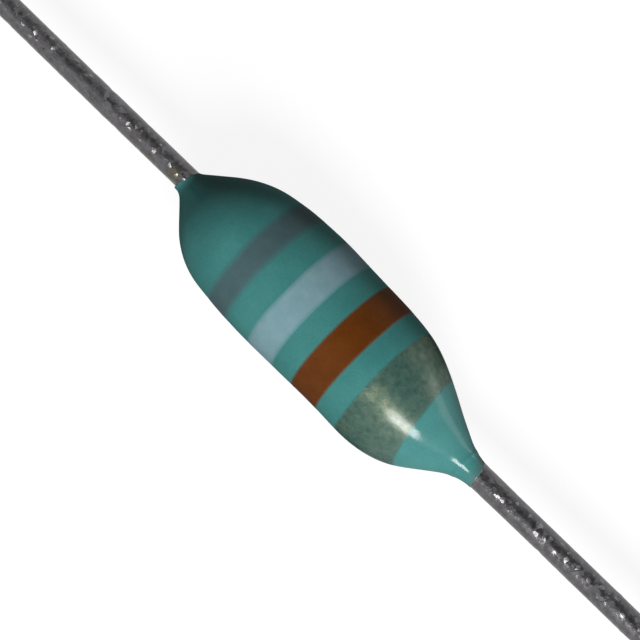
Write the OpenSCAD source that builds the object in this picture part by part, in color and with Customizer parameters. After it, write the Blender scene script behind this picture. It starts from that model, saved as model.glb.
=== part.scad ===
// Axial inductor: a ferrite drum core wound with enamelled wire, a tinned wire lead glued
// into each end, an epoxy dip coat over the whole and four colour bands printed round it.
// X runs along the leads and the origin is the middle of the coat. Sizes are in millimetres.
// The left end, at -X, is the one that the first band is nearest to.

/* [Leads] */
// Diameter of a lead over its tin
lead_d = 0.6; // [0.5:0.01:0.8]
// Thickness of the tin on a lead
tin_t = 0.02; // [0.01:0.005:0.03]
// Free length of each lead, from the lip of the coat to the cut end
lead_free = 25; // [10:1:38]
// Length over which the tin feathers out under the coat
tin_feather = 0.65; // [0.55:0.05:0.8]
// Depth to which a lead is set into the core
lead_set = 0.85; // [0.6:0.05:0.95]

/* [Drum core] */
// Length of the core over its flanges
core_len = 5.6; // [5:0.1:7]
// Diameter of the flanges
flange_d = 2.6; // [2.4:0.05:3.2]
// Thickness of each flange
flange_t = 1.1; // [1.05:0.05:1.4]
// Chamfer round the outer edge of each flange
flange_chamfer = 0.12; // [0.05:0.01:0.2]
// Diameter of the waist that the wire is wound on
waist_d = 1.2; // [1:0.05:1.4]
// Gap between a lead and its blind hole, filled by the adhesive
glue_gap = 0.05; // [0.03:0.01:0.08]

/* [Winding] */
// Diameter of the wire over its enamel
wire_d = 0.16; // [0.1:0.01:0.18]
// Thickness of the enamel, stripped from the wire ends
enamel_t = 0.01; // [0.005:0.001:0.02]
// Number of wound layers
layers = 3; // [1:1:4]
// Turns that each wire end makes round its lead
lead_turns = 3; // [2:1:4]
// Distance from the end of the core to the first of those turns
wrap_at = 0.3; // [0.26:0.01:0.4]
// Radius of the wire's bend from the flange slot towards the lead
bend_r = 0.16; // [0.12:0.01:0.2]
// Room round the wire in its flange slot
slot_gap = 0.05; // [0.02:0.01:0.08]
// Direction in which the left wire end leaves, round the axis
left_exit = 40; // [0:5:355]
// Direction in which the right wire end leaves, round the axis
right_exit = 220; // [0:5:355]

/* [Joints to the leads] */
// Solder left between a lead and the turns on it
solder_film = 0.03; // [0.02:0.005:0.05]
// Solder over the turns
solder_wall = 0.07; // [0.04:0.01:0.12]
// Solder that runs on along the lead past the turns
solder_run = 0.08; // [0.05:0.01:0.1]
// Reach of the adhesive bead over the face of the flange
bead_reach = 0.2; // [0.1:0.02:0.3]
// Height of the adhesive bead on the lead
bead_h = 0.1; // [0.05:0.01:0.12]

/* [Coat] */
// Reach of the coat past the left end of the core
left_tail = 1.82; // [1.72:0.02:2.3]
// Reach of the coat past the right end, where the epoxy drained while it set
right_tail = 2.38; // [2.2:0.02:2.8]
// Thickness of the coat at its two lips
lip_t = 0.02; // [0.01:0.005:0.03]
// Thickness of the coat where the thin collar behind each lip begins
collar_t = 0.04; // [0.035:0.005:0.06]
// Length of the thin collar at the left lip
left_collar = 0.11; // [0.08:0.01:0.2]
// Length of the thin collar at the right lip
right_collar = 0.4; // [0.3:0.01:0.5]
// Corner of the left shoulder: how far it lies outside the core's end
left_shoulder_out = 0.5; // [0.4:0.02:0.6]
// Corner of the left shoulder: how far it lies outside the flange's rim
left_shoulder_wall = 0.13; // [0.1:0.01:0.2]
// Corner of the right shoulder: how far it lies outside the core's end
right_shoulder_out = 0.04; // [0:0.02:0.2]
// Corner of the right shoulder: how far it lies outside the flange's rim
right_shoulder_wall = 0.255; // [0.2:0.005:0.3]
// Thickest place of the coat, along X from the core's middle
crown_at = -1.55; // [-1.8:0.05:0]
// Thickness of the coat there, before the rounding takes a little off
crown_wall = 0.36; // [0.32:0.01:0.5]
// Radius of the hollow where the coat meets the left lead
left_meniscus_r = 0.4; // [0.2:0.01:0.6]
// Radius of the left shoulder
left_shoulder_r = 2.6; // [1.5:0.1:3]
// Radius of the barrel's long crown
crown_r = 14.5; // [8:0.5:16]
// Radius of the right shoulder
right_shoulder_r = 3.9; // [2.5:0.1:4.5]
// Radius of the hollow where the coat meets the right lead
right_meniscus_r = 1.55; // [1:0.05:2]

/* [Colour bands] */
// Thickness of the printed paint
paint_t = 0.03; // [0.02:0.005:0.05]
// Left edge of the first band, along X from the coat's middle
first_band_at = -2.5; // [-2.7:0.05:-2.2]
// Width of the first band
first_band_w = 0.66; // [0.4:0.02:0.8]
// Left edge of the second band
second_band_at = -1.09; // [-1.3:0.01:-1]
// Width of the second band
second_band_w = 0.76; // [0.6:0.01:0.9]
// Left edge of the multiplier band
multiplier_band_at = 0.31; // [0.15:0.01:0.45]
// Width of the multiplier band
multiplier_band_w = 0.83; // [0.6:0.01:0.9]
// Left edge of the wide tolerance band
tolerance_band_at = 1.75; // [1.65:0.01:1.9]
// Width of the tolerance band
tolerance_band_w = 1.37; // [1.1:0.01:1.5]

/* [Hidden] */
$fn = 96;
// Steps in each rounded corner of the coat's outline
arc_steps = 12;
// Share of a straight side that a rounded corner may take, if it has the side to itself or not
whole_side = 0.98;
half_side = 0.49;
// Overlap that lets a cutting shape pass clean through a surface
through = 0.2;
// Share of its thickness by which a wire end lies above the last layer it rests on
exit_lift = 0.6;
// Share of its thickness by which a turn on the lead presses into the next one
wrap_press = 0.08;

// Lengths along X
coat_len = left_tail + core_len + right_tail;
core_mid = (left_tail - right_tail) / 2;
window_len = core_len - 2 * flange_t;
hole_depth = lead_set + glue_gap;

// Radii
lead_r = lead_d / 2;
shank_r = lead_r - tin_t;
hole_r = shank_r + glue_gap;
flange_r = flange_d / 2;
waist_r = waist_d / 2;
wire_r = wire_d / 2;
bare_r = wire_r - enamel_t;
lip_r = lead_r + lip_t;
collar_r = lead_r + collar_t;
// Radius that clears the coat and the paint on it
coat_reach = flange_r + crown_wall + paint_t + through;

// Winding: each layer nests in the hollows of the one below it
turns = floor(window_len / wire_d);
turn_pitch = window_len / turns;
layer_rise = wire_d * sqrt(3) / 2;
top_layer_r = waist_r + wire_r + (layers - 1) * layer_rise;
// Varnish fills the hollows between the outer turns to this radius
varnish_r = top_layer_r + wire_r / 2;
// The wire end lies on the last turns and crosses the flange at this radius
exit_r = top_layer_r + exit_lift * wire_d;
slot_w = wire_d + 2 * slot_gap;
slot_floor_r = exit_r - wire_r - slot_gap;
wrap_r = shank_r + solder_film + bare_r;
wrap_pitch = 2 * bare_r * (1 - wrap_press);
wrap_end = wrap_at + (lead_turns - 1) * wrap_pitch;

// Colours
tin_grey = [0.55, 0.55, 0.56];
ferrite_black = [0.16, 0.16, 0.17];
enamel_copper = [0.72, 0.36, 0.16];
solder_grey = [0.66, 0.67, 0.69];
glue_amber = [0.80, 0.66, 0.38];
coat_teal = [0.30, 0.58, 0.56];
band_slate = [0.33, 0.40, 0.43];
band_pale = [0.58, 0.70, 0.74];
band_brown = [0.42, 0.23, 0.09];
band_gold = [0.60, 0.58, 0.46];

// Outlines

function unit(v) = v / norm(v);

// Angle of a direction, within half a turn of a starting angle
function angle_near(v, start) =
    let (a = atan2(v[1], v[0]))
    a - start > 180 ? a - 360 : a - start < -180 ? a + 360 : a;

// Points of the arc that rounds the corner p between a and b, limited to the room on each side
function rounded_corner(a, p, b, r, room_a, room_b) =
    let (
        to_a = unit(a - p),
        to_b = unit(b - p),
        half = acos(to_a * to_b) / 2,
        reach = min(r / tan(half), room_a, room_b),
        fitted_r = reach * tan(half),
        centre = p + unit(to_a + to_b) * fitted_r / sin(half),
        from = p + to_a * reach - centre,
        start = atan2(from[1], from[0]),
        end = angle_near(p + to_b * reach - centre, start)
    )
    [for (i = [0:arc_steps])
        let (angle = start + (end - start) * i / arc_steps)
        centre + fitted_r * [cos(angle), sin(angle)]];

// An open line with its inner corners rounded: neighbouring arcs share a side, and the first
// and last side belong to one arc each
function rounded_line(points, radii) =
    let (last = len(points) - 1)
    [
        points[0],
        for (i = [1:last - 1])
            let (
                side_a = norm(points[i] - points[i - 1]),
                side_b = norm(points[i + 1] - points[i])
            )
            each rounded_corner(
                points[i - 1], points[i], points[i + 1], radii[i - 1],
                side_a * (i == 1 ? whole_side : half_side),
                side_b * (i == last - 1 ? whole_side : half_side)
            ),
        points[last]
    ];

// The coat's surface as [radius, along X] from lip to lip
coat_line = rounded_line(
    [
        [lip_r, -coat_len / 2],
        [collar_r, -coat_len / 2 + left_collar],
        [flange_r + left_shoulder_wall, core_mid - core_len / 2 - left_shoulder_out],
        [flange_r + crown_wall, core_mid + crown_at],
        [flange_r + right_shoulder_wall, core_mid + core_len / 2 + right_shoulder_out],
        [collar_r, coat_len / 2 - right_collar],
        [lip_r, coat_len / 2]
    ],
    [left_meniscus_r, left_shoulder_r, crown_r, right_shoulder_r, right_meniscus_r]
);

// Half section of the coat's outside, closed along the axis, with a layer added to it
module coat_section(added = 0) {
    polygon([
        [0, -coat_len / 2],
        for (p = coat_line) [p[0] + added, p[1]],
        [0, coat_len / 2]
    ]);
}

// Turns a half section, drawn as [radius, along X], about X
module turned() {
    rotate([0, 90, 0]) rotate_extrude() children();
}

// Places a piece on one end of the core: its X starts at the end face and points outwards
module at_end(side) {
    translate([core_mid + side * core_len / 2, 0, 0])
        rotate([0, 0, side > 0 ? 0 : 180]) children();
}

function tail(side) = side > 0 ? right_tail : left_tail;

// The turn from straight up to a wire end's exit, as seen in the frame of its own end of the core
function exit_turn(side) = side > 0 ? right_exit : -left_exit;

// Sub-parts

module lead(side) {
    lip_at = tail(side);
    color(tin_grey) at_end(side) turned() polygon([
        [0, -lead_set],
        [shank_r, -lead_set],
        [shank_r, lip_at - tin_feather],
        [lead_r, lip_at],
        [lead_r, lip_at + lead_free],
        [0, lip_at + lead_free]
    ]);
}

module drum_core() {
    color(ferrite_black) difference() {
        union() {
            translate([core_mid, 0, 0]) turned()
                translate([0, -window_len / 2]) square([waist_r, window_len]);
            for (side = [-1, 1]) at_end(side) flange();
        }
        for (side = [-1, 1]) at_end(side) {
            lead_hole();
            rotate([exit_turn(side), 0, 0]) wire_slot();
        }
    }
}

module flange() {
    turned() polygon([
        [0, -flange_t],
        [flange_r - flange_chamfer, -flange_t],
        [flange_r, -flange_t + flange_chamfer],
        [flange_r, -flange_chamfer],
        [flange_r - flange_chamfer, 0],
        [0, 0]
    ]);
}

module lead_hole() {
    turned() translate([0, -hole_depth]) square([hole_r, hole_depth + through]);
}

module wire_slot() {
    translate([-flange_t - through, -slot_w / 2, slot_floor_r])
        cube([flange_t + 2 * through, slot_w, flange_r]);
}

module winding() {
    color(enamel_copper) {
        translate([core_mid, 0, 0]) coil();
        for (side = [-1, 1]) wire_end(side);
    }
}

// The wound turns as one solid, with the outer layer's turns standing out of the varnish
module coil() {
    turned() translate([0, -window_len / 2]) {
        translate([waist_r, 0]) square([varnish_r - waist_r, window_len]);
        for (i = [0:turns - 1])
            translate([top_layer_r, (i + 0.5) * turn_pitch]) circle(r = wire_r);
    }
}

// From the last turns through the flange's slot, down to the lead and round it
module wire_end(side) {
    elbow_at = wrap_at - bend_r;
    start_at = -flange_t - wire_d;
    at_end(side) {
        rotate([exit_turn(side), 0, 0]) {
            translate([elbow_at, 0, exit_r])
                rotate([0, -90, 0]) cylinder(h = elbow_at - start_at, r = wire_r);
            translate([elbow_at, 0, exit_r - bend_r])
                rotate([90, 0, 0]) rotate_extrude(angle = 90)
                    translate([bend_r, 0]) circle(r = wire_r);
            translate([wrap_at, 0, wrap_r])
                cylinder(h = exit_r - bend_r - wrap_r, r = wire_r);
        }
        turned() for (i = [0:lead_turns - 1])
            translate([wrap_r, wrap_at + i * wrap_pitch]) circle(r = bare_r);
    }
}

module solder_joint(side) {
    blob_r = wrap_r + bare_r + solder_wall;
    from = wrap_at - bare_r - solder_run;
    to = wrap_end + bare_r + solder_run;
    color(solder_grey) difference() {
        at_end(side) turned() polygon([
            [0, from],
            [shank_r, from],
            [blob_r, wrap_at - bare_r],
            [blob_r, wrap_end],
            [shank_r, to],
            [0, to]
        ]);
        lead(side);
        wire_end(side);
    }
}

// Fills the blind hole round the lead and stands in a bead at its mouth
module lead_adhesive(side) {
    color(glue_amber) at_end(side) turned() polygon([
        [0, -hole_depth],
        [hole_r, -hole_depth],
        [hole_r, 0],
        [hole_r + bead_reach, 0],
        [shank_r, bead_h],
        [shank_r, -lead_set],
        [0, -lead_set]
    ]);
}

// The dip coat fills every space that the pieces inside it leave
module epoxy_coat() {
    color(coat_teal) difference() {
        turned() coat_section();
        drum_core();
        winding();
        for (side = [-1, 1]) {
            lead(side);
            solder_joint(side);
            lead_adhesive(side);
        }
    }
}

// A ring of paint that follows the coat
module colour_band(at, width, tint) {
    color(tint) turned() difference() {
        intersection() {
            coat_section(paint_t);
            translate([0, at]) square([coat_reach, width]);
        }
        coat_section();
    }
}

epoxy_coat();
colour_band(first_band_at, first_band_w, band_slate);  // first_band
colour_band(second_band_at, second_band_w, band_pale);  // second_band
colour_band(multiplier_band_at, multiplier_band_w, band_brown);  // multiplier_band
colour_band(tolerance_band_at, tolerance_band_w, band_gold);  // tolerance_band
lead(-1);  // left_lead
lead(1);  // right_lead
drum_core();
winding();
solder_joint(-1);  // left_solder_joint
solder_joint(1);  // right_solder_joint
lead_adhesive(-1);  // left_lead_adhesive
lead_adhesive(1);  // right_lead_adhesive
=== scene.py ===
"""Looks of the axial inductor: a dip-coated spindle with four colour bands and two tinned leads."""

import math

import bpy
import numpy as np
from mathutils import Matrix, Vector
from mathutils.bvhtree import BVHTree


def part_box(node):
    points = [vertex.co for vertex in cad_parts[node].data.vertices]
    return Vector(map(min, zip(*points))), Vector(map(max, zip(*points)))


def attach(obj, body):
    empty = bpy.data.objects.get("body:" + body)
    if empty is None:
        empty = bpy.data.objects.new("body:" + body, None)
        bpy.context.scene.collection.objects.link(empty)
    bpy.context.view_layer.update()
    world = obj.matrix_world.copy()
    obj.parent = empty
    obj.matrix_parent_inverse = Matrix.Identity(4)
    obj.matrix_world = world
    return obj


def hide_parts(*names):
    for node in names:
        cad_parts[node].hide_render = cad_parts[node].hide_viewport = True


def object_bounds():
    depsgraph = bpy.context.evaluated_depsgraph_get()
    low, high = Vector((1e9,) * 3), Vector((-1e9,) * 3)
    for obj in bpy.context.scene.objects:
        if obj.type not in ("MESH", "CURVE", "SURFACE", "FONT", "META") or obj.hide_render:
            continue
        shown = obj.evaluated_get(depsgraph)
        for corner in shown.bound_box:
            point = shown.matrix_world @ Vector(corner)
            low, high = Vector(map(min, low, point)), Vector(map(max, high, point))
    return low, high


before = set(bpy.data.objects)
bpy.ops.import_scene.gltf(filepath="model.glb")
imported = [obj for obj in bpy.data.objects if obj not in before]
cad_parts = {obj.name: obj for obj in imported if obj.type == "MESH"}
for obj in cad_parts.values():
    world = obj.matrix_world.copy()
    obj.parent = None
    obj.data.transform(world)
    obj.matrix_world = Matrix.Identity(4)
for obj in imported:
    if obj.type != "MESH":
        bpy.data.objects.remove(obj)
cad_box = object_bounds()

MM = 0.001
PHOTO_PX = 640
PX_PER_MM = 42.8

# The photograph's camera: it looks down, a little from the side of the wide band
CAMERA_AZIMUTH = 46.0
CAMERA_ELEVATION = 78.1
CAMERA_DISTANCE = 65 * MM
SENSOR_MM = 36.0
# Pixel of the photograph on which the point AIM_X of the axis lies
AIM_PIXEL = (330.6, 325.9)
AIM_X = -0.03 * MM

# Key lamp: a strip in line with the body, beyond the wide band's end,
# on the side that the coat drained to
KEY_AZIMUTH = 53.0
KEY_ELEVATION = 40.0
KEY_DISTANCE = 150 * MM
KEY_SIZE = (92 * MM, 42 * MM)
KEY_LEVEL = 1.2

# Fill card: a low soft strip on the other side
CARD_AZIMUTH = 146.0
CARD_ELEVATION = 7.5
CARD_DISTANCE = 150 * MM
CARD_SIZE = (105 * MM, 48 * MM)
CARD_GLOW = 1.75

# The studio: its even glow, and how bright it is overhead where it is darkest
AMBIENT = 0.045
DARK_TOWARDS = Vector((0.138, 0.31, 0.94))
DARK_LEVEL = 0.2
DARK_WITHIN = 12.0
WHITE_BEYOND = 60.0

# Epoxy that drained to one side before it set: where, how far, and how it eases off to each end
DRAIN_SIDE = Vector((0, -0.989, -0.145))
DRAINS = [
    {"at": -3.93 * MM, "by": 0.073 * MM, "before": 0.5 * MM, "after": 1.0 * MM},
    {"at": 3.18 * MM, "by": 0.171 * MM, "before": 0.9 * MM, "after": 0.72 * MM},
]
# A faint ring where the epoxy crept along the right lead
CREEP = {"at": 4.47 * MM, "rise": 0.009 * MM, "over": 0.035 * MM}
# How far each lip runs out to the side away from the drain, and how far it wanders
LEFT_LIP_SLANT = 0.09 * MM
RIGHT_LIP_SLANT = -0.04 * MM
LIP_WANDER = 0.01 * MM
# The coat's hem is tucked in behind each lip, to this share of the lead's radius
HEM_SHARE = 0.85
# Length over which the joins of the outline's arcs are eased
OUTLINE_EASING = 0.05 * MM

# Mesh steps: how many along and round, and how far apart they are along a lead
COAT_STEPS = 420
ROUND_STEPS = 176
BAND_STEPS = 28
LEAD_ROUND_STEPS = 66
LEAD_INNER_STEP = 0.1 * MM
LEAD_FINE_STEP = 0.018 * MM
LEAD_FAR_STEP = 0.032 * MM
# How strongly the coat's steps crowd towards its two ends, from 0 to 1
END_CROWDING = 0.4

rng = np.random.default_rng(7)


def direction(azimuth, elevation):
    """Unit vector from the object towards a place, with azimuth 0 at -Y and 90 at +X."""
    a = math.radians(azimuth)
    e = math.radians(elevation)
    return Vector((math.sin(a) * math.cos(e), -math.cos(a) * math.cos(e), math.sin(e)))


def smooth_step(t):
    t = np.clip(t, 0, 1)
    return t * t * (3 - 2 * t)


def bell(distance, width):
    return np.exp(-0.5 * (distance / width) ** 2)


def crowded(count):
    """Steps from 0 to 1 that lie closer together towards both ends."""
    return 0.5 - 0.5 * np.cos(math.pi * np.linspace(0, 1, count))


def away_from_drain(angle):
    """1 on the side away from the drain, -1 on the drain side."""
    return -(np.cos(angle) * DRAIN_SIDE.y + np.sin(angle) * DRAIN_SIDE.z)


def wander(amount):
    """How an edge wanders round the body: low harmonics of the angle."""
    terms = [(n, rng.normal() / n, rng.uniform(0, 2 * math.pi)) for n in (2, 3, 4, 5, 7)]
    return lambda angle: amount * sum(a * np.sin(n * angle + p) for n, a, p in terms)


# Coat surface

coat_low, coat_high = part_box("epoxy_coat")
lead_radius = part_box("right_lead")[1].z


def coat_outline():
    """The CAD coat's radius at even steps from lip to lip, eased so that its arcs join smoothly."""
    depsgraph = bpy.context.evaluated_depsgraph_get()
    tree = BVHTree.FromObject(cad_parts["epoxy_coat"], depsgraph)
    below = 2 * coat_low.z
    inset = 0.002 * MM
    xs = np.linspace(coat_low.x + inset, coat_high.x - inset, 2 * COAT_STEPS)
    radii = np.array([-tree.ray_cast(Vector((x, 0, below)), Vector((0, 0, 1)))[0].z for x in xs])
    width = OUTLINE_EASING / (xs[1] - xs[0])
    reach = int(3 * width)
    weights = bell(np.arange(-reach, reach + 1), width)
    padded = np.pad(radii, reach, mode="edge")
    eased = np.convolve(padded, weights / weights.sum(), mode="valid")
    return xs, eased + CREEP["rise"] * bell(xs - CREEP["at"], CREEP["over"])


outline_x, outline_r = coat_outline()


def drained(x):
    """How far the coat's section at x lies to the drain side."""
    total = 0 * x
    for d in DRAINS:
        total = total + d["by"] * bell(x - d["at"], np.where(x < d["at"], d["before"], d["after"]))
    return total


def ripples(count, shortest, longest):
    """Long gentle waves over the coat: wave numbers along X and round it, with phases."""
    along = 2 * math.pi / rng.uniform(shortest, longest, count)
    around = rng.integers(0, 4, count)
    phase = rng.uniform(0, 2 * math.pi, count)
    return list(zip(along, around, phase))


COAT_RIPPLES = ripples(count=9, shortest=1.1 * MM, longest=4 * MM)
RIPPLE_HEIGHT = 0.0012 * MM
# The coat's radius, in lead radii, from which it starts to ripple
RIPPLE_START = 1.2


def on_coat(x, angle, lift=0.0):
    """Points of the dressed coat's surface, for arrays of x and angle, raised by lift."""
    radius = np.interp(x, outline_x, outline_r)
    fullness = smooth_step((radius - RIPPLE_START * lead_radius) / lead_radius)
    wave = sum(np.sin(k * x + n * angle + p) for k, n, p in COAT_RIPPLES)
    radius = radius + RIPPLE_HEIGHT * fullness * wave + lift
    y = radius * np.cos(angle) + drained(x) * DRAIN_SIDE.y
    z = radius * np.sin(angle) + drained(x) * DRAIN_SIDE.z
    return np.stack([x + 0 * angle, y, z], axis=-1)


# Meshes


def grid_faces(rows, columns, wrap_rows):
    """Quads of a grid of points that closes round its columns, and round its rows if asked."""
    r = np.arange(rows if wrap_rows else rows - 1)
    c = np.arange(columns)
    r, c = np.meshgrid(r, c, indexing="ij")
    r2 = (r + 1) % rows
    c2 = (c + 1) % columns
    quads = [r * columns + c, r * columns + c2, r2 * columns + c2, r2 * columns + c]
    return np.stack(quads, axis=-1).reshape(-1, 4).tolist()


def grid_piece(name, points, node, wrap_rows=False):
    """A smooth mesh over a grid of points. An open grid gets a flat cap at each end."""
    rows, columns = points.shape[:2]
    faces = grid_faces(rows, columns, wrap_rows)
    if not wrap_rows:
        faces.append(list(range(columns - 1, -1, -1)))
        faces.append(list(range((rows - 1) * columns, rows * columns)))
    mesh = bpy.data.meshes.new(name)
    mesh.from_pydata(points.reshape(-1, 3).tolist(), [], faces)
    mesh.polygons.foreach_set("use_smooth", np.ones(len(mesh.polygons), dtype=bool))
    mesh.validate()
    mesh.update()
    piece = bpy.data.objects.new(name, mesh)
    bpy.context.scene.collection.objects.link(piece)
    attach(piece, "root")
    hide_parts(node)
    return piece


def set_attribute(piece, name, values):
    """Stores one number per point, for the material to read."""
    layer = piece.data.attributes.new(name, "FLOAT", "POINT")
    layer.data.foreach_set("value", np.asarray(values, dtype=np.float32).ravel())


# Materials


class Nodes:
    """Short ways to make the nodes of a material."""

    def __init__(self, name):
        self.material = bpy.data.materials.new(name)
        self.material.use_nodes = True
        self.tree = self.material.node_tree
        self.shader = self.tree.nodes["Principled BSDF"]

    def link(self, source, target):
        self.tree.links.new(source, target)

    def new(self, kind, **values):
        node = self.tree.nodes.new(kind)
        for key, value in values.items():
            setattr(node, key, value)
        return node

    def feed(self, value, socket):
        """Links a socket, or sets a plain value."""
        if isinstance(value, bpy.types.NodeSocket):
            self.link(value, socket)
        elif socket.type == "RGBA":
            socket.default_value = (*value, 1)
        else:
            socket.default_value = value

    def shade(self, **values):
        """Feeds the shader's own sockets."""
        for key, value in values.items():
            self.feed(value, self.shader.inputs[key.replace("_", " ")])

    def gloss(self, weight, roughness):
        """A thin clear gloss over a matt base: its high index keeps the rim from glaring."""
        self.shade(Specular_IOR_Level=0.0, Coat_Weight=weight, Coat_Roughness=roughness)
        self.shade(Coat_IOR=GLOSS_INDEX)

    def place(self, stretch=(1, 1, 1)):
        """Object coordinates in millimetres, squeezed along an axis where asked."""
        coordinates = self.new("ShaderNodeTexCoord")
        mapping = self.new("ShaderNodeMapping")
        mapping.inputs["Scale"].default_value = [s / MM for s in stretch]
        self.link(coordinates.outputs["Object"], mapping.inputs["Vector"])
        return mapping.outputs["Vector"]

    def noise(self, place, size, detail=3.0, roughness=0.55):
        """Cloudy noise from 0 to 1 whose blotches are about size millimetres across."""
        node = self.new("ShaderNodeTexNoise")
        self.feed(place, node.inputs["Vector"])
        self.feed(1 / size, node.inputs["Scale"])
        self.feed(detail, node.inputs["Detail"])
        self.feed(roughness, node.inputs["Roughness"])
        return node.outputs["Fac"]

    def ramp(self, value, low, high, out_low=0.0, out_high=1.0):
        node = self.new("ShaderNodeMapRange", clamp=True)
        for socket, number in zip(node.inputs, (value, low, high, out_low, out_high)):
            self.feed(number, socket)
        return node.outputs["Result"]

    def mix(self, factor, a, b):
        """Mix of two colours."""
        node = self.new("ShaderNodeMix", data_type="RGBA")
        self.feed(factor, node.inputs["Factor"])
        colours = [s for s in node.inputs if s.type == "RGBA"]
        self.feed(a, colours[0])
        self.feed(b, colours[1])
        return next(s for s in node.outputs if s.type == "RGBA")

    def math(self, operation, *values):
        node = self.new("ShaderNodeMath", operation=operation)
        for socket, value in zip(node.inputs, values):
            self.feed(value, socket)
        return node.outputs["Value"]

    def blend(self, a, b, share):
        """The weighted mean of two numbers, with a's share given."""
        return self.math("MULTIPLY_ADD", a, share, self.math("MULTIPLY", b, 1 - share))

    def attribute(self, name):
        return self.new("ShaderNodeAttribute", attribute_name=name).outputs["Fac"]

    def bump(self, height, distance, strength=0.6, socket="Normal"):
        node = self.new("ShaderNodeBump")
        self.feed(distance, node.inputs["Distance"])
        self.feed(strength, node.inputs["Strength"])
        self.feed(height, node.inputs["Height"])
        self.shade(**{socket: node.outputs["Normal"]})

    def facets(self, place, size, share, lean):
        """Tilts a share of small patches of the surface at random, as crystals in the tin do."""
        cells = self.new("ShaderNodeTexVoronoi")
        self.feed(place, cells.inputs["Vector"])
        self.feed(1 / size, cells.inputs["Scale"])
        colour = cells.outputs["Color"]
        chosen = self.ramp(self.channel(colour, "Blue"), share, share + 0.01, 1, 0)
        tilt = self.vector("MULTIPLY", self.vector("SUBTRACT", colour, (0.5, 0.5, 0.5)), lean)
        tilt = self.vector("MULTIPLY", tilt, chosen)
        normal = self.shader.inputs["Normal"].links[0].from_socket
        self.shade(Normal=self.vector("NORMALIZE", self.vector("ADD", normal, tilt)))

    def channel(self, colour, name):
        node = self.new("ShaderNodeSeparateColor")
        self.feed(colour, node.inputs["Color"])
        return node.outputs[name]

    def vector(self, operation, *values):
        node = self.new("ShaderNodeVectorMath", operation=operation)
        for socket, value in zip(node.inputs, values):
            self.feed(value, socket)
        return node.outputs["Vector"]


# The coat's tint under thinning paint, its deep and pale mottle, and its tint in a thin film
TEAL = (0.055, 0.245, 0.236)
TEAL_DEEP = (0.042, 0.205, 0.196)
TEAL_PALE = (0.07, 0.275, 0.26)
TEAL_THIN = (0.11, 0.17, 0.165)
# Deep and pale tint of each band's paint
SLATE = ((0.063, 0.122, 0.133), (0.087, 0.152, 0.164))
PALE_BLUE = ((0.187, 0.325, 0.367), (0.239, 0.388, 0.43))
BROWN = ((0.115, 0.031, 0.004), (0.155, 0.045, 0.006))
FLAKE_FILM = ((0.006, 0.073, 0.071), (0.012, 0.112, 0.108))
# The flakes in the wide band: their gold, and how little they reflect at a grazing angle
FLAKE_GOLD = (0.395, 0.35, 0.195)
FLAKE_RIM = (0.0, 0.0, 0.0)
FLAKE_ROUGHNESS = 0.48
# How far the flakes' gleam is drawn out, and the quarter turn from the brush strokes to its direction
FLAKE_STRETCH = 0.65
QUARTER_TURN = 0.25
# Deep and pale tint of the tin, and the brown that flux leaves on it
TIN = ((0.095, 0.092, 0.095), (0.155, 0.15, 0.157))
FLUX_STAIN = (0.1, 0.088, 0.05)
# Gloss of the coat and its paint, and of the right end, where the epoxy drained thickest
COAT_GLOSS = 0.035
END_GLOSS = 0.125
END_FROM = 2.45 * MM
END_FULL = 2.7 * MM
# Index of that gloss, how blurred it is on the coat and the paints, and the roughness under it
GLOSS_INDEX = 2.6
COAT_BLUR = 0.15
PAINT_BLUR = 0.18
FLAKE_BLUR = 0.2
MATT = 0.6


def mottle(nodes, place, cloud_size, grain_size):
    """Broad clouds and a fine grain of pigment, from 0 to 1."""
    clouds = nodes.ramp(nodes.noise(place, cloud_size), 0.35, 0.65)
    grain = nodes.ramp(nodes.noise(place, grain_size, detail=2), 0.3, 0.7)
    return nodes.blend(clouds, grain, 0.5)


def coat_material():
    """Teal epoxy, greyer where its film on the lead is thin."""
    nodes = Nodes("teal_epoxy")
    place = nodes.place()
    teal = nodes.mix(mottle(nodes, place, 0.9, 0.035), TEAL_DEEP, TEAL_PALE)
    tint = nodes.mix(nodes.attribute("film"), TEAL_THIN, teal)
    nodes.shade(Base_Color=tint, Roughness=MATT)
    nodes.gloss(nodes.attribute("gloss"), COAT_BLUR)
    nodes.bump(nodes.noise(place, 0.12, detail=2), 0.0009 * MM)
    return nodes.material


def band_cover(nodes, place):
    """How much of the coat the paint hides: all of it but at the edges, which are a little ragged."""
    ragged = nodes.blend(nodes.attribute("cover"), nodes.noise(place, 0.05), 0.75)
    return nodes.ramp(ragged, 0.15, 0.85)


def paint_material(name, deep, pale):
    """Band paint: it thins out to the coat's colour at its edges."""
    nodes = Nodes(name)
    place = nodes.place()
    paint = nodes.mix(mottle(nodes, place, 0.35, 0.03), deep, pale)
    nodes.shade(Base_Color=nodes.mix(band_cover(nodes, place), TEAL, paint), Roughness=MATT)
    nodes.gloss(COAT_GLOSS, PAINT_BLUR)
    nodes.bump(nodes.noise(place, 0.08, detail=2), 0.0018 * MM)
    return nodes.material


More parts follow.
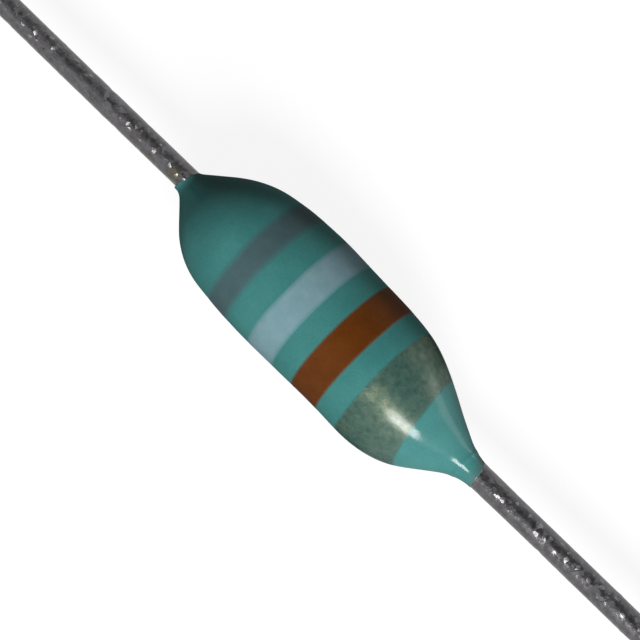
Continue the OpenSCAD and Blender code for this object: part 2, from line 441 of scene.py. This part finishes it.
def flake_material():
    """Metal-flake band paint: small gold flakes in a mottled grey-green film.

    It was brushed on round the body, so its gleam is drawn out along the body.
    """
    nodes = Nodes("flake_paint")
    place = nodes.place()
    blotches = nodes.noise(place, 0.16, detail=3)
    film = nodes.ramp(nodes.blend(nodes.noise(place, 0.07), blotches, 0.6), 0.4, 0.6)
    film = nodes.mix(film, *FLAKE_FILM)
    specks = nodes.noise(place, 0.003, detail=0)
    flake = nodes.ramp(nodes.blend(specks, blotches, 0.86), 0.53, 0.72)
    cover = band_cover(nodes, place)
    paint = nodes.mix(cover, TEAL, nodes.mix(flake, film, FLAKE_GOLD))
    metal = nodes.math("MULTIPLY", flake, cover)
    nodes.shade(Base_Color=paint, Metallic=metal, Roughness=FLAKE_ROUGHNESS)
    nodes.shade(Specular_Tint=FLAKE_RIM)
    strokes = nodes.new("ShaderNodeTangent", direction_type="RADIAL", axis="X")
    nodes.shade(Tangent=strokes.outputs["Tangent"])
    nodes.shade(Anisotropic=FLAKE_STRETCH, Anisotropic_Rotation=QUARTER_TURN)
    nodes.gloss(nodes.attribute("gloss"), FLAKE_BLUR)
    nodes.bump(blotches, 0.006 * MM, 0.8)
    nodes.bump(blotches, 0.004 * MM, 0.6, "Coat_Normal")
    return nodes.material


def lead_material():
    """Dull hot-dipped tin: streaks along the wire, grey bloom and brown flux stains near the coat."""
    nodes = Nodes("tinned_wire")
    place = nodes.place()
    streaks = nodes.noise(nodes.place((0.12, 1, 1)), 0.05, detail=4)
    bloom = nodes.noise(place, 0.16, detail=3)
    tint = nodes.mix(nodes.ramp(nodes.blend(streaks, bloom, 0.4), 0.36, 0.62), *TIN)
    stain = nodes.ramp(nodes.noise(nodes.place((0.5, 1, 1)), 0.45, detail=2), 0.5, 0.64, 0, 0.75)
    stain = nodes.math("MULTIPLY", stain, nodes.attribute("near_coat"))
    tint = nodes.mix(stain, tint, FLUX_STAIN)
    nodes.shade(Base_Color=tint, Metallic=1.0, Roughness=nodes.ramp(bloom, 0.3, 0.7, 0.28, 0.42))
    nodes.bump(nodes.noise(place, 0.13, detail=2, roughness=0.6), 0.02 * MM, 0.9)
    nodes.facets(place, 0.1, 0.28, (1.3, 0.32, 0.32))
    return nodes.material


def inner_material(name, deep, pale, size, metallic, roughness):
    """Finish of a piece that the coat hides: a cloudy tint with a light grain."""
    nodes = Nodes(name)
    place = nodes.place()
    tint = nodes.mix(nodes.ramp(nodes.noise(place, size), 0.35, 0.65), deep, pale)
    nodes.shade(Base_Color=tint, Metallic=metallic, Roughness=roughness)
    nodes.bump(nodes.noise(place, size / 3), 0.003 * MM, 0.5)
    return nodes.material


# Pieces

# Thickness over the lead at which the coat hides it fully
FULL_FILM = 0.05 * MM


def gloss_at(x):
    """The gloss's weight at x: it rises from the coat's to the right end's."""
    share = smooth_step((x - END_FROM) / (END_FULL - END_FROM))
    return COAT_GLOSS + (END_GLOSS - COAT_GLOSS) * share


def make_coat():
    """The dip coat: it follows the CAD coat, drained a little to one side, down onto the leads."""
    t = (1 - END_CROWDING) * np.linspace(0, 1, COAT_STEPS) + END_CROWDING * crowded(COAT_STEPS)
    angle = np.linspace(0, 2 * math.pi, ROUND_STEPS, endpoint=False)
    start = coat_low.x + LEFT_LIP_SLANT * away_from_drain(angle) + wander(LIP_WANDER)(angle)
    stop = coat_high.x + RIGHT_LIP_SLANT * away_from_drain(angle) + wander(LIP_WANDER)(angle)
    along = start + (stop - start) * t[:, None]
    skin = on_coat(along, angle[None, :])
    hem = HEM_SHARE * lead_radius
    hem_y = hem * np.cos(angle)
    hem_z = hem * np.sin(angle)
    hems = [np.stack([x, hem_y, hem_z], axis=-1)[None] for x in (start, stop)]
    points = np.concatenate([hems[0], skin, hems[1]])
    coat = grid_piece("dip_coat", points, "epoxy_coat")
    film = smooth_step((np.hypot(points[..., 1], points[..., 2]) - lead_radius) / FULL_FILM)
    set_attribute(coat, "film", film)
    set_attribute(coat, "gloss", gloss_at(points[..., 0]))
    coat.data.materials.append(coat_material())


# How high the paint stands over the coat, and how deep its root and its feathered edge lie in it
PAINT_RISE = 0.003 * MM
PAINT_ROOT = -0.003 * MM
PAINT_EDGE = PAINT_ROOT / 3


def make_band(node, material, feather, edge, high_slant=0.0):
    """A ring of paint on the coat whose thickness feathers out at its edges, where the CAD band ends.

    A slant moves the right edge along X on the side away from the drain.
    """
    low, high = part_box(node)
    angle = np.linspace(0, 2 * math.pi, ROUND_STEPS, endpoint=False)
    start = low.x - feather / 2 + wander(edge)(angle)
    stop = high.x + feather / 2 + high_slant * away_from_drain(angle) + wander(edge)(angle)
    x = start[:, None] + (stop - start)[:, None] * crowded(BAND_STEPS)
    inside = np.minimum(x - start[:, None], stop[:, None] - x)
    cover = smooth_step(inside / feather)
    over = on_coat(x, angle[:, None], PAINT_EDGE + (PAINT_RISE - PAINT_EDGE) * cover)
    under = on_coat(x[:, 1:-1], angle[:, None], PAINT_ROOT)[:, ::-1]
    points = np.concatenate([over, under], axis=1)
    ring = grid_piece(node + "_paint", points, node, wrap_rows=True)
    set_attribute(ring, "cover", np.concatenate([cover, np.zeros(under.shape[:2])], axis=1))
    set_attribute(ring, "gloss", gloss_at(points[..., 0]))
    ring.data.materials.append(material)


# Lumps and pits in the tin: how many to a millimetre of lead, how wide, and how high for their width
LUMPS_PER_MM = 20
LUMP_SIZE = (0.03 * MM, 0.06 * MM)
LUMP_STEEPNESS = (0.05, 0.22)
# There are two pits to each lump, and a lump is lower than a pit is deep
PIT_OR_LUMP = (-1, -1, 0.6)
# How many of its widths from its middle a lump has died away
LUMP_REACH = 3.5
# A lead's slight bow between the lip and its end, and the length near the coat with the finest mesh
LEAD_BOW = 0.2 * MM
FINE_LENGTH = 7.2 * MM
# How far the tin thickens a lead, the left lead lies off the axis, and stains reach from the lip
TIN_THICKENS = 0.005 * MM
LEFT_LEAD_OFF = 0.023 * MM
STAIN_REACH = 2.5 * MM
# A bead of tin against the left lip, and the fillet of tin at the right one
LEFT_BEAD = {
    "beyond": 0.055 * MM,
    "turn": math.radians(254),
    "size": 0.055 * MM,
    "height": 0.06 * MM,
}
RIGHT_FILLET = {"thick": 0.012 * MM, "over": 0.6 * MM}
# The cut end's rounding: the share of the radius that it takes off, and the length over which it fades
TIP_ROUNDING = {"share": 0.18, "over": 0.04 * MM}


def lead_stations(inner, lip, tip):
    """Distances along a lead: few inside the coat, close ones where it comes out, wider ones beyond."""
    fine_end = lip + FINE_LENGTH
    parts = [
        np.arange(inner, lip, LEAD_INNER_STEP),
        np.arange(lip, fine_end, LEAD_FINE_STEP),
        np.linspace(fine_end, tip, int((tip - fine_end) / LEAD_FAR_STEP)),
    ]
    return np.concatenate(parts)


def lump(x, angle, at, turn, size, height):
    """Height of one round lump, or pit, over the lead's surface."""
    around = (angle - turn + math.pi) % (2 * math.pi) - math.pi
    return height * bell(x - at, size)[:, None] * bell(lead_radius * around, size)


def tin_relief(x, angle, lip, tip):
    """Height of the tin's lumps and pits over the lead's surface."""
    relief = np.zeros((len(x), len(angle)))
    for _ in range(int(LUMPS_PER_MM * (tip - lip) / MM)):
        at = rng.uniform(lip, tip)
        turn = rng.uniform(0, 2 * math.pi)
        size = rng.uniform(*LUMP_SIZE)
        height = rng.choice(PIT_OR_LUMP) * size * rng.uniform(*LUMP_STEEPNESS)
        reach = LUMP_REACH * size
        near = slice(*np.searchsorted(x, (at - reach, at + reach)))
        relief[near] += lump(x[near], angle, at, turn, size, height)
    return relief


def make_lead(node, side, material):
    """A tinned wire: its skin is lumpy and pitted, and its cut end is a little rounded."""
    low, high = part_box(node)
    inner, tip = (low.x, high.x) if side > 0 else (-high.x, -low.x)
    lip = coat_high.x if side > 0 else -coat_low.x
    x = lead_stations(inner, lip, tip)
    angle = np.linspace(0, 2 * math.pi, LEAD_ROUND_STEPS, endpoint=False)
    rounded = 1 - TIP_ROUNDING["share"] * np.exp(-(tip - x) / TIP_ROUNDING["over"])
    radius = ((lead_radius + TIN_THICKENS) * rounded)[:, None] + tin_relief(x, angle, lip, tip)
    if side > 0:
        radius += RIGHT_FILLET["thick"] * bell(x - lip, RIGHT_FILLET["over"])[:, None]
    else:
        bead = LEFT_BEAD
        radius += lump(x, angle, lip + bead["beyond"], bead["turn"], bead["size"], bead["height"])
    bow = side * LEAD_BOW * np.sin(math.pi * np.clip((x - lip) / (tip - lip), 0, 1))[:, None]
    off = bow + (LEFT_LEAD_OFF if side < 0 else 0)
    y = radius * np.cos(angle) - off * DRAIN_SIDE.y
    z = radius * np.sin(side * angle) - off * DRAIN_SIDE.z
    points = np.stack([side * x[:, None] + 0 * radius, y, z], axis=-1)
    lead = grid_piece(node + "_wire", points, node)
    near_coat = smooth_step((lip + STAIN_REACH - x) / STAIN_REACH)
    set_attribute(lead, "near_coat", near_coat[:, None] + 0 * radius)
    lead.data.materials.append(material)


make_coat()
slate = paint_material("slate_paint", *SLATE)
make_band("first_band", slate, feather=0.3 * MM, edge=0.02 * MM)
pale = paint_material("pale_paint", *PALE_BLUE)
make_band("second_band", pale, feather=0.2 * MM, edge=0.012 * MM)
brown = paint_material("brown_paint", *BROWN)
make_band("multiplier_band", brown, feather=0.11 * MM, edge=0.008 * MM)
flakes = flake_material()
make_band("tolerance_band", flakes, feather=0.13 * MM, edge=0.014 * MM, high_slant=-0.2 * MM)
tin = lead_material()
make_lead("left_lead", -1, tin)
make_lead("right_lead", 1, tin)

INNER_FINISHES = {
    "drum_core": inner_material(
        "ferrite",
        deep=(0.025, 0.025, 0.028),
        pale=(0.05, 0.05, 0.053),
        size=0.08,
        metallic=0.0,
        roughness=0.6,
    ),
    "winding": inner_material(
        "enamelled_wire",
        deep=(0.36, 0.08, 0.02),
        pale=(0.5, 0.13, 0.035),
        size=0.2,
        metallic=0.8,
        roughness=0.3,
    ),
    "solder_joint": inner_material(
        "solder",
        deep=(0.36, 0.37, 0.38),
        pale=(0.48, 0.48, 0.5),
        size=0.15,
        metallic=1.0,
        roughness=0.35,
    ),
    "lead_adhesive": inner_material(
        "adhesive",
        deep=(0.45, 0.28, 0.08),
        pale=(0.62, 0.42, 0.15),
        size=0.2,
        metallic=0.0,
        roughness=0.3,
    ),
}
for node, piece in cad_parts.items():
    for ending, finish in INNER_FINISHES.items():
        if node.endswith(ending):
            for material_slot in piece.material_slots:
                material_slot.material = finish


# Floor, light and camera


def seen_directly(tree):
    """1 for what is seen by the camera, in a mirror or through glass, and 0 for scattered light."""
    path = tree.nodes.new("ShaderNodeLightPath")
    total = path.outputs["Is Camera Ray"]
    for ray in ("Is Glossy Ray", "Is Transmission Ray"):
        most = tree.nodes.new("ShaderNodeMath")
        most.operation = "MAXIMUM"
        tree.links.new(total, most.inputs[0])
        tree.links.new(path.outputs[ray], most.inputs[1])
        total = most.outputs["Value"]
    return total


# The floor: half its side, its tint, and how it glows where it is seen directly
FLOOR_HALF = 0.6
FLOOR_TINT = 0.16
FLOOR_GLOW = 0.9


def make_floor():
    """A white floor under the body: it glows as a white background does and still takes a shadow."""
    z = cad_box[0].z
    corners = [(-FLOOR_HALF, -FLOOR_HALF, z), (FLOOR_HALF, -FLOOR_HALF, z)]
    corners += [(FLOOR_HALF, FLOOR_HALF, z), (-FLOOR_HALF, FLOOR_HALF, z)]
    mesh = bpy.data.meshes.new("floor")
    mesh.from_pydata(corners, [], [(0, 1, 2, 3)])
    floor = bpy.data.objects.new("floor", mesh)
    bpy.context.scene.collection.objects.link(floor)
    nodes = Nodes("white_floor")
    glow = nodes.math("MULTIPLY", seen_directly(nodes.tree), FLOOR_GLOW)
    nodes.shade(Base_Color=(FLOOR_TINT, FLOOR_TINT, FLOOR_TINT), Roughness=0.9, Specular_IOR_Level=0.0)
    nodes.shade(Emission_Color=(1, 1, 1), Emission_Strength=glow)
    floor.data.materials.append(nodes.material)


def make_world():
    """Seen directly, it is white round the horizon and dark overhead. It lights by a dim even glow."""
    world = bpy.data.worlds.new("studio")
    bpy.context.scene.world = world
    world.use_nodes = True
    tree = world.node_tree
    dim = tree.nodes["Background"]
    dim.inputs["Color"].default_value = (1, 1, 1, 1)
    dim.inputs["Strength"].default_value = AMBIENT
    seen = tree.nodes.new("ShaderNodeBackground")
    seen.inputs["Color"].default_value = (1, 1, 1, 1)
    towards = tree.nodes.new("ShaderNodeTexCoord")
    facing = tree.nodes.new("ShaderNodeVectorMath")
    facing.operation = "DOT_PRODUCT"
    facing.inputs[1].default_value = DARK_TOWARDS.normalized()
    level = tree.nodes.new("ShaderNodeMapRange")
    level.interpolation_type = "SMOOTHSTEP"
    level.inputs["From Min"].default_value = math.cos(math.radians(WHITE_BEYOND))
    level.inputs["From Max"].default_value = math.cos(math.radians(DARK_WITHIN))
    level.inputs["To Min"].default_value = 1.0
    level.inputs["To Max"].default_value = DARK_LEVEL
    mix = tree.nodes.new("ShaderNodeMixShader")
    tree.links.new(towards.outputs["Generated"], facing.inputs[0])
    tree.links.new(facing.outputs["Value"], level.inputs["Value"])
    tree.links.new(level.outputs["Result"], seen.inputs["Strength"])
    tree.links.new(seen_directly(tree), mix.inputs["Fac"])
    tree.links.new(dim.outputs["Background"], mix.inputs[1])
    tree.links.new(seen.outputs["Background"], mix.inputs[2])
    tree.links.new(mix.outputs["Shader"], tree.nodes["World Output"].inputs["Surface"])


def make_lamp(name, size, level, towards, distance, along):
    """A rectangle of light that faces the origin, with its long side turned along a direction."""
    lamp = bpy.data.lights.new(name, "AREA")
    lamp.shape = "RECTANGLE"
    lamp.size, lamp.size_y = size
    lamp.energy = level * math.pi**2 * distance**2
    holder = bpy.data.objects.new(name, lamp)
    holder.location = towards * distance
    across = towards.cross(along).normalized()
    holder.rotation_euler = Matrix((across.cross(towards), across, towards)).transposed().to_euler()
    bpy.context.scene.collection.objects.link(holder)


def make_lights():
    """At the key's level, a surface that faces it renders in about its own colour."""
    towards = direction(KEY_AZIMUTH, KEY_ELEVATION)
    make_lamp("key", KEY_SIZE, KEY_LEVEL, towards, KEY_DISTANCE, Vector((1, 0, 0)))
    towards = direction(CARD_AZIMUTH, CARD_ELEVATION)
    level = CARD_GLOW * CARD_SIZE[0] * CARD_SIZE[1] / (math.pi * CARD_DISTANCE**2)
    make_lamp("fill_card", CARD_SIZE, level, towards, CARD_DISTANCE, Vector((0, 0, 1)).cross(towards))


def make_camera():
    """The photograph's view, aimed so that the body lies on its own pixels."""
    data = bpy.data.cameras.new("camera")
    data.sensor_width = SENSOR_MM
    half_field = PHOTO_PX / PX_PER_MM / 2 * MM
    data.lens = SENSOR_MM / 2 * CAMERA_DISTANCE / half_field
    data.clip_start = 5 * MM
    data.clip_end = 5.0
    camera = bpy.data.objects.new("camera", data)
    back = direction(CAMERA_AZIMUTH, CAMERA_ELEVATION)
    turn = (-back).to_track_quat("-Z", "Y")
    right = turn @ Vector((1, 0, 0))
    up = turn @ Vector((0, 1, 0))
    across = (AIM_PIXEL[0] - PHOTO_PX / 2) / PX_PER_MM * MM
    down = (AIM_PIXEL[1] - PHOTO_PX / 2) / PX_PER_MM * MM
    centre = Vector((AIM_X, 0, 0)) - right * across + up * down
    camera.location = centre + back * CAMERA_DISTANCE
    camera.rotation_mode = "QUATERNION"
    camera.rotation_quaternion = turn
    bpy.context.scene.collection.objects.link(camera)
    bpy.context.scene.camera = camera


make_floor()
make_world()
make_lights()
make_camera()
bpy.context.scene.view_settings.view_transform = "Standard"
